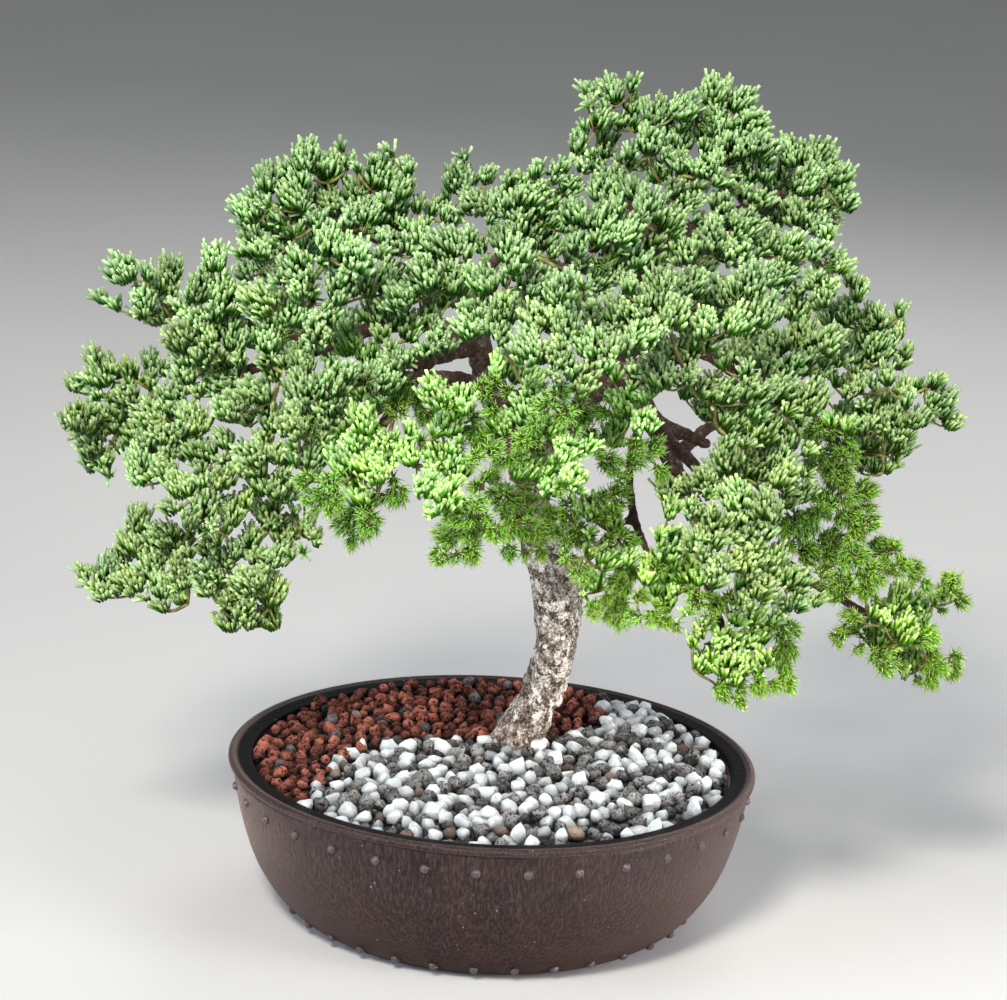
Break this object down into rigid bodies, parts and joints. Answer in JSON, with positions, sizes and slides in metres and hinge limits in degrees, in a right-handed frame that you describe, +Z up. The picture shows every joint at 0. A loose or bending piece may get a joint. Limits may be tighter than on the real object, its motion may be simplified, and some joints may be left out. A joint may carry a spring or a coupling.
{
  "type": "potted bonsai tree",
  "caption": "Juniper bonsai with a slanting flaky trunk and spreading boughs of short blunt needles, in a round bowl-shaped pot with nail-head trim and a top dressing of stones.",
  "frame": {"origin": "centre of the pot's flat underside", "axes": "+Z up, the viewed side towards -Y, +X along the crown's longest reach, to the viewer's right"},
  "size_m": [0.5211, 0.3136, 0.4925],
  "materials": {
    "clay": "unglazed fired clay",
    "screen": "matte mesh",
    "soil": "loose and dull",
    "red_lava": "porous stone",
    "pumice": "porous stone",
    "bark": "flaky bark",
    "shoots": "waxy blue-green scale shoots",
    "needles": "waxy yellow-green needles"
  },
  "bodies": {
    "root": {"pot": "clay", "drain_screen_1": "screen", "drain_screen_2": "screen", "drain_screen_3": "screen", "soil": "soil", "red_lava_stones": "red_lava", "pumice_and_grey_lava": "pumice", "wood": "bark", "foliage_left_tip_high": "shoots", "foliage_left_high": "shoots", "foliage_left_crown": "shoots", "foliage_second_crown": "shoots", "foliage_left_front": "shoots", "foliage_left_tip_mid": "shoots", "foliage_left_tip_low": "shoots", "foliage_left_low_front": "shoots", "foliage_left_low_mid": "shoots", "foliage_left_front_low": "shoots", "foliage_left_front_tuft": "needles", "foliage_left_under": "needles", "foliage_left_fan": "shoots", "foliage_left_fan_front": "shoots", "foliage_centre_left_top": "shoots", "foliage_centre_left_front": "shoots", "foliage_centre_top": "shoots", "foliage_centre_front_high": "shoots", "foliage_centre_front": "shoots", "foliage_centre_under": "needles", "foliage_neck": "shoots", "foliage_crown_top": "shoots", "foliage_crown_right": "shoots", "foliage_centre_right_high": "shoots", "foliage_right_high": "shoots", "foliage_right_front_high": "shoots", "foliage_right_front_mid": "shoots", "foliage_right_out_mid": "shoots", "foliage_right_out_high": "shoots", "foliage_right_tip": "shoots", "foliage_right_centre": "shoots", "foliage_right_lower_front": "shoots", "foliage_right_needles": "needles", "foliage_right_tail": "needles", "foliage_centre_hanging": "needles", "foliage_centre_front_low": "needles", "foliage_trunk_needles": "needles", "foliage_centre_right_low": "needles", "foliage_right_inner": "needles", "foliage_right_hanging": "needles", "foliage_back_left_high": "shoots", "foliage_back_left_mid": "shoots", "foliage_back_left_low": "shoots", "foliage_back_left_far": "shoots", "foliage_back_centre_left": "shoots", "foliage_back_centre": "shoots", "foliage_back_right_high": "shoots", "foliage_back_right_mid": "shoots", "foliage_back_right_far": "shoots", "foliage_back_right_low": "shoots"}
  },
  "joints": []
}
